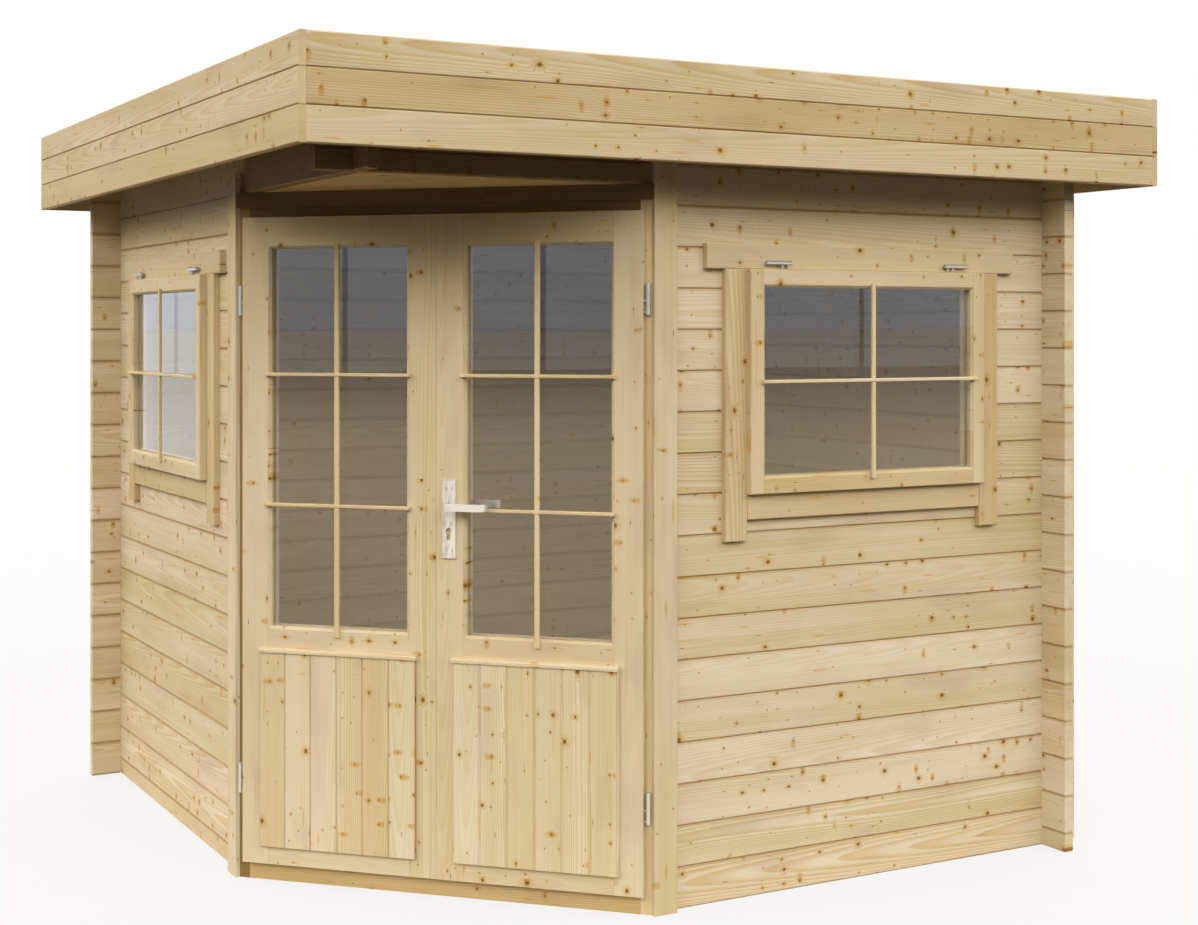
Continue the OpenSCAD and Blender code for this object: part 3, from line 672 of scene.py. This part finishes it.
def finish_walls():
    front = boards("front logs", "x", "z", LOG_ROW, face=WALL_FACE, number=10)
    side = boards("side logs", "y", "z", LOG_ROW, first=HALF_ROW, face=WALL_FACE, number=40)
    back = boards("back logs", "x", "z", LOG_ROW, face=-WALL_FACE, number=70, knots=0.25, seam=BACK_SEAM)
    right = boards("right logs", "y", "z", LOG_ROW, first=HALF_ROW, face=-WALL_FACE, number=100)
    for name in ("front_wall_low", "front_wall_mid", "front_wall_high"):
        give(name, front)
    for name in ("left_wall_low", "left_wall_mid", "left_wall_high"):
        give(name, side)
    give("front_beam", beam_wood("front beam", "x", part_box("right_post")[0].x, 30))
    give("left_beam", beam_wood("left beam", "y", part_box("left_post")[0].y, 60))
    give("back_wall", back)
    give("right_wall", right)


def finish_roof():
    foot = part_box("front_fascia")[0].z
    for number, name in enumerate(("front_fascia", "left_fascia", "back_fascia", "right_fascia")):
        along = "x" if name in ("front_fascia", "back_fascia") else "y"
        face = FASCIA_FACE if name in ("front_fascia", "left_fascia") else -FASCIA_FACE
        give(name, boards(name.replace("_", " "), along, "z", FASCIA_ROW, first=foot, face=face,
                          seam=FASCIA_SEAM, number=130 + 10 * number, knots=0.35, **FASCIA_TONES))
    # Roof boards and purlins take darker tones: painted shade under the roof
    give("roof_deck", boards("roof boards", "y", "x", ROOF_ROW, number=200, **ROOF_SHADE_TONES))
    give("roof_purlins", boards("purlins", "x", "y", PURLIN_ROW, first=WALL_FACE + PURLIN_INSET, number=240,
                                **ROOF_SHADE_TONES))
    give("corner_soffit", boards("soffit board", "x", "y", SOFFIT_ROW, first=SOFFIT_START, door=True,
                                 number=250, knots=0.1, **SOFFIT_TONES))


def jamb_wood():
    """Upright wood with painted shade: darker on the side that the left leaf's edge keeps in shade."""
    material, g, shader = new_material("jambs")
    point = object_point(g, True)
    # Painted shade on the left side, behind the left leaf's edge
    left = g.below(point["x"], 0.0)
    place = g.vector(point["z"], point["x"], point["y"])
    finish_wood(g, shader, place, g.plus(left, 266.0), 0.0, knots=0.2,
                **shaded(g, left, JAMB_TONES, JAMB_SHADE_TONES))
    return material


def finish_door_frame():
    for side, first, number in (("left", -2.0, 260), ("right", 0.0, 263)):
        give(f"{side}_post", boards(f"{side} post", "z", "x", ONE_PIECE, first=first, door=True,
                                    number=number, knots=0.35))
    give("door_jambs", jamb_wood())
    give("door_threshold", boards("threshold", "x", "z", ONE_PIECE, first=-0.5, door=True, number=270,
                                  knots=0.25, **THRESHOLD_TONES))
    # Painted shade: the head and lintel take dark tones that stand for the shade under the roof
    dark = boards("head rails", "x", "z", ONE_PIECE, first=-0.5, door=True, number=274, knots=0.25,
                  **DOOR_HEAD_SHADE_TONES)
    give("door_head", dark)
    give("door_lintel", dark)


def opening(low, high, axis):
    """Middle and half width of the clear opening that a pane fills, along an axis."""
    return (low[axis] + high[axis]) / 2, (high[axis] - low[axis]) / 2 - GROOVE


def finish_leaves():
    for number, side in enumerate(("left", "right")):
        low, high = doorway_box(f"{side}_leaf_frame")
        middle, half = opening(*doorway_box(f"{side}_leaf_glass"), 0)
        give(f"{side}_leaf_frame", joinery(f"{side} leaf", "x", middle, half + BEVEL + LEAF_STEP, low.z,
                                           high.z - low.z, face=low.y, door=True, number=280 + 12 * number,
                                           knots=0.3, grain=0.8, tone=0.5, **LEAF_TONES))
        panel_low, panel_high = doorway_box(f"{side}_leaf_panel")
        give(f"{side}_leaf_panel", panel_boards(f"{side} panel", panel_low.x, panel_high.z - PANEL_CAP,
                                                310 + 12 * number, knots=0.36, **PANEL_TONES))


def finish_windows():
    for number, (wall, aside) in enumerate((("front", "x"), ("left", "y"))):
        axis = "xyz".index(aside)
        low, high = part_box(f"{wall}_window_sash")
        middle, half = opening(*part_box(f"{wall}_window_glass"), axis)
        half += BEVEL
        give(f"{wall}_window_sash", joinery(f"{wall} sash", aside, middle, half, low.z, high.z - low.z,
                                            face=WALL_FACE, number=340 + 12 * number, knots=0.4, tone=0.5,
                                            **SASH_TONES))
        outer = (high[axis] - low[axis]) / 2
        low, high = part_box(f"{wall}_window_frame")
        give(f"{wall}_window_frame", joinery(f"{wall} casing", aside, middle, half + CASING_STEP, low.z,
                                             high.z - low.z, face=WALL_FACE, number=370 + 12 * number,
                                             knots=0.35))
        low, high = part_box(f"{wall}_window_trim")
        give(f"{wall}_window_trim", joinery(f"{wall} trim", aside, middle, outer - TRIM_LAP, low.z,
                                            high.z - low.z, head=high.z - TRIM_HEAD, face=WALL_FACE,
                                            number=400 + 12 * number, knots=0.45, tone=0.7, **TRIM_TONES))


def finish_floor():
    give("floor_boards", boards("floorboards", "x", "y", FLOOR_ROW, number=430, **FLOOR_TONES))
    give("floor_joists", boards("joists", "x", "y", JOIST_ROW, number=460))


# Metal, glass and roofing sheet

def zinc():
    material, g, shader = new_material("zinc plated steel")
    point = g.node("ShaderNodeTexCoord").outputs["Object"]
    cloud = g.noise(g.scaled(point, (90, 90, 90)), 3.0)
    g.feed(g.blend(cloud, srgb(160, 161, 164), srgb(206, 207, 209)), shader.inputs["Base Color"])
    g.feed(g.times_plus(cloud, 0.16, 0.28), shader.inputs["Roughness"])
    shader.inputs["Metallic"].default_value = 0.5
    return material


def brushed_metal():
    """Pale brushed metal with upright scratches, most of them on the half toward the left leaf."""
    material, g, shader = new_material("brushed aluminium")
    low, high = doorway_box("lock_plates")
    point = object_point(g, True)
    place = g.vector(point["x"], point["y"], point["z"])
    aside = g.over(g.minus(point["x"], (low.x + high.x) / 2), (high.x - low.x) / 2)
    brush = g.noise(g.scaled(place, (1300, 1300, 45)), 3.0, 0.65)
    patch = g.noise(g.scaled(place, (70, 70, 22)), 3.0, 0.6)
    worn = g.step(g.times_plus(aside, -0.16, patch), 0.36, 0.62)
    scratch = g.times(g.step(brush, 0.45, 0.62), worn)
    g.feed(g.blend(scratch, srgb(224, 222, 220), srgb(132, 126, 118)), shader.inputs["Base Color"])
    g.feed(g.times_plus(brush, 0.22, 0.30), shader.inputs["Roughness"])
    bump = g.node("ShaderNodeBump", {"Height": brush, "Strength": 0.3, "Distance": 0.0001})
    g.feed(bump.outputs[0], shader.inputs["Normal"])
    shader.inputs["Metallic"].default_value = 0.3
    return material


def pane_glass():
    material, g, shader = new_material("window glass")
    shader.inputs["Base Color"].default_value = (0.98, 0.98, 0.98, 1)
    shader.inputs["Roughness"].default_value = 0.0
    shader.inputs["IOR"].default_value = 1.7
    shader.inputs["Transmission Weight"].default_value = 1.0
    clear = g.node("ShaderNodeBsdfTransparent", {"Color": (0.97, 0.97, 0.97, 1)})
    for_shadows = g.node("ShaderNodeLightPath").outputs["Is Shadow Ray"]
    both = g.node("ShaderNodeMixShader", {0: for_shadows, 1: shader.outputs[0], 2: clear.outputs[0]})
    g.feed(both.outputs[0], g.tree.nodes["Material Output"].inputs["Surface"])
    return material


def roofing_sheet():
    material, g, shader = new_material("mineral roofing sheet")
    point = g.node("ShaderNodeTexCoord").outputs["Object"]
    grit = g.node("ShaderNodeTexVoronoi", {"Vector": point, "Scale": 420.0}).outputs
    grit_light = g.split(grit["Color"])[0]
    cloud = g.noise(g.scaled(point, (3, 3, 3)), 4.0)
    colour = g.blend(grit_light, srgb(58, 59, 61), srgb(104, 104, 106))
    g.feed(g.tint(g.step(cloud, 0.35, 0.75), colour, srgb(205, 208, 205)), shader.inputs["Base Color"])
    shader.inputs["Roughness"].default_value = 0.95
    bump = g.node("ShaderNodeBump", {"Height": grit["Distance"], "Strength": 0.6, "Distance": 0.0015})
    g.feed(bump.outputs[0], shader.inputs["Normal"])
    return material


def finish_fittings():
    hinges = zinc()
    for name in ("window_hinges", "door_hinges", "left_leaf_hinges", "right_leaf_hinges"):
        give(name, hinges)
    lock = brushed_metal()
    for name in ("lock_plates", "door_levers"):
        give(name, lock)
    glass = pane_glass()
    for name in ("front_window_glass", "left_window_glass", "left_leaf_glass", "right_leaf_glass"):
        give(name, glass)
    give("roof_felt", roofing_sheet())


# Glazing bars

def make_bar_tree():
    """A grid of eased bars over an opening of Width by Height, lapping on to the wood round it."""
    tree = bpy.data.node_groups.new("glazing bars", "GeometryNodeTree")
    tree.interface.new_socket("Geometry", in_out="OUTPUT", socket_type="NodeSocketGeometry")
    sizes = {"Width": 0.4, "Height": 1.0, "First level": 0.3, "Level pitch": 0.3, "Side lap": 0.01,
             "Top lap": 0.01, "Foot lap": 0.02, "Face": LEAF_BAR_FACE, "Depth": BAR_DEPTH}
    for name, value in sizes.items():
        tree.interface.new_socket(name, in_out="INPUT", socket_type="NodeSocketFloat").default_value = value
    tree.interface.new_socket("Levels", in_out="INPUT", socket_type="NodeSocketInt").default_value = 2
    tree.interface.new_socket("Wood", in_out="INPUT", socket_type="NodeSocketMaterial")
    given = tree.nodes.new("NodeGroupInput").outputs
    g = Graph(tree)

    section = g.node("GeometryNodeCurvePrimitiveQuadrilateral",
                     {"Width": given["Face"], "Height": given["Depth"]})
    eased = g.node("GeometryNodeFilletCurve", {"Curve": section.outputs[0], "Radius": BAR_EASE, "Count": 3},
                   mode="POLY")

    def bar(start, end):
        line = g.node("GeometryNodeCurvePrimitiveLine", {"Start": start, "End": end})
        return g.node("GeometryNodeCurveToMesh", {"Curve": line.outputs[0], "Profile Curve": eased.outputs[0],
                                                  "Fill Caps": True}).outputs[0]

    half_height = g.times(given["Height"], 0.5)
    half_width = g.times(given["Width"], 0.5)
    upright = bar(g.vector(0.0, 0.0, g.times_plus(half_height, -1.0, g.times(given["Foot lap"], -1.0))),
                  g.vector(0.0, 0.0, g.plus(half_height, given["Top lap"])))
    reach = g.plus(half_width, given["Side lap"])
    level = bar(g.vector(g.times(reach, -1.0), 0.0), g.vector(reach, 0.0))
    places = g.node("GeometryNodeMeshLine", {
        "Count": given["Levels"],
        "Start Location": g.vector(0.0, -BAR_STAGGER, g.minus(given["First level"], half_height)),
        "Offset": g.vector(0.0, 0.0, given["Level pitch"]),
    })
    levels = g.node("GeometryNodeInstanceOnPoints", {"Points": places.outputs[0], "Instance": level})
    joined = g.node("GeometryNodeJoinGeometry")
    tree.links.new(upright, joined.inputs[0])
    tree.links.new(levels.outputs[0], joined.inputs[0])
    real = g.node("GeometryNodeRealizeInstances", {"Geometry": joined.outputs[0]})
    flat = g.node("GeometryNodeSetShadeSmooth", {0: real.outputs[0], "Shade Smooth": False})
    wood = g.node("GeometryNodeSetMaterial", {"Geometry": flat.outputs[0], "Material": given["Wood"]})
    tree.links.new(wood.outputs[0], tree.nodes.new("NodeGroupOutput").inputs[0])
    return tree


def grown(name, tree, inputs, place):
    """A plain mesh object from a Geometry Nodes tree, with its place in its mesh."""
    seed = bpy.data.objects.new(name + " seed", bpy.data.meshes.new(name + " seed"))
    bpy.context.scene.collection.objects.link(seed)
    modifier = seed.modifiers.new("grow", "NODES")
    modifier.node_group = tree
    for item in tree.interface.items_tree:
        if item.in_out == "INPUT" and item.name in inputs:
            modifier[item.identifier] = inputs[item.name]
    bpy.context.view_layer.update()
    mesh = bpy.data.meshes.new_from_object(seed.evaluated_get(bpy.context.evaluated_depsgraph_get()))
    bpy.data.objects.remove(seed)
    mesh.transform(place)
    if place.determinant() < 0:
        mesh.flip_normals()
    mesh.name = name
    return placed(name, mesh)


def placed(name, mesh):
    made = bpy.data.objects.new(name, mesh)
    bpy.context.scene.collection.objects.link(made)
    return made


def add_piece(piece, body):
    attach(piece, body)


def make_glazing_bars():
    tree = make_bar_tree()
    for number, side in enumerate(("left", "right")):
        low, high = doorway_box(f"{side}_leaf_glass")
        face = doorway_box(f"{side}_leaf_frame")[0].y
        middle, half = opening(low, high, 0)
        wood = bar_wood(f"{side} leaf bars", "x", middle, 500 + 12 * number, door=True)
        sizes = {"Width": 2 * half, "Height": high.z - low.z - 2 * GROOVE, "First level": 0.3524,
                 "Level pitch": 0.3752, "Levels": 2, "Side lap": 0.014, "Top lap": 0.011, "Foot lap": 0.023,
                 "Face": LEAF_BAR_FACE, "Depth": BAR_DEPTH, "Wood": wood}
        at = Vector((middle, face - BAR_DEPTH / 2, (low.z + high.z) / 2))
        bars = grown(f"{side}_leaf_bars", tree, sizes, DOOR_TO_ROW @ Matrix.Translation(at))
        bars.visible_glossy = False
        add_piece(bars, f"{side}_leaf")
    for number, (wall, axis) in enumerate((("front", 0), ("left", 1))):
        low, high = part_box(f"{wall}_window_glass")
        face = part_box(f"{wall}_window_sash")[0][1 - axis]
        middle, half = opening(low, high, axis)
        wood = bar_wood(f"{wall} window bars", "xy"[axis], middle, 530 + 12 * number)
        height = high.z - low.z - 2 * GROOVE
        sizes = {"Width": 2 * half, "Height": height, "First level": height / 2, "Levels": 1,
                 "Side lap": 0.014, "Top lap": 0.014, "Foot lap": 0.018, "Face": WINDOW_BAR_FACE,
                 "Depth": BAR_DEPTH, "Wood": wood}
        at = Vector((0, 0, (low.z + high.z) / 2))
        at[axis] = middle
        at[1 - axis] = face - BAR_DEPTH / 2
        turn = Matrix.Rotation(-math.pi / 2 * axis, 4, "Z")
        bars = grown(f"{wall}_window_bars", tree, sizes, Matrix.Translation(at) @ turn)
        bars.visible_glossy = False
        add_piece(bars, "cabin")


# Strips that close the slot between the leaves

STRIP_WIDTH = 0.0023
STRIP_DEPTH = 0.006
STRIP_EASE = 0.0006


def make_edge_strips():
    section = [(0, 0), (STRIP_WIDTH - STRIP_EASE, 0), (STRIP_WIDTH, STRIP_EASE), (STRIP_WIDTH, STRIP_DEPTH),
               (0, STRIP_DEPTH)]
    for side, way in (("left", -1), ("right", 1)):
        low, high = doorway_box(f"{side}_leaf_frame")
        edge = high.x if way < 0 else low.x
        mesh = bpy.data.meshes.new(f"{side}_leaf_edge_strip")
        build = bmesh.new()
        rings = []
        for z in (low.z, high.z):
            rings.append([build.verts.new((edge - way * x, low.y + y, z)) for x, y in section])
        for a in range(len(section)):
            b = (a + 1) % len(section)
            build.faces.new((rings[0][a], rings[0][b], rings[1][b], rings[1][a]))
        build.faces.new(rings[0])
        build.faces.new(rings[1])
        bmesh.ops.recalc_face_normals(build, faces=build.faces)
        build.to_mesh(mesh)
        build.free()
        mesh.transform(DOOR_TO_ROW)
        mesh.materials.append(nodes[f"{side}_leaf_frame"].data.materials[0])
        add_piece(placed(f"{side}_leaf_edge_strip", mesh), f"{side}_leaf")


make_camera()
make_sky()
make_floor()
finish_walls()
finish_roof()
finish_door_frame()
finish_leaves()
finish_windows()
finish_floor()
finish_fittings()
make_glazing_bars()
make_edge_strips()

bpy.context.scene.view_settings.view_transform = "Standard"
bpy.context.view_layer.update()
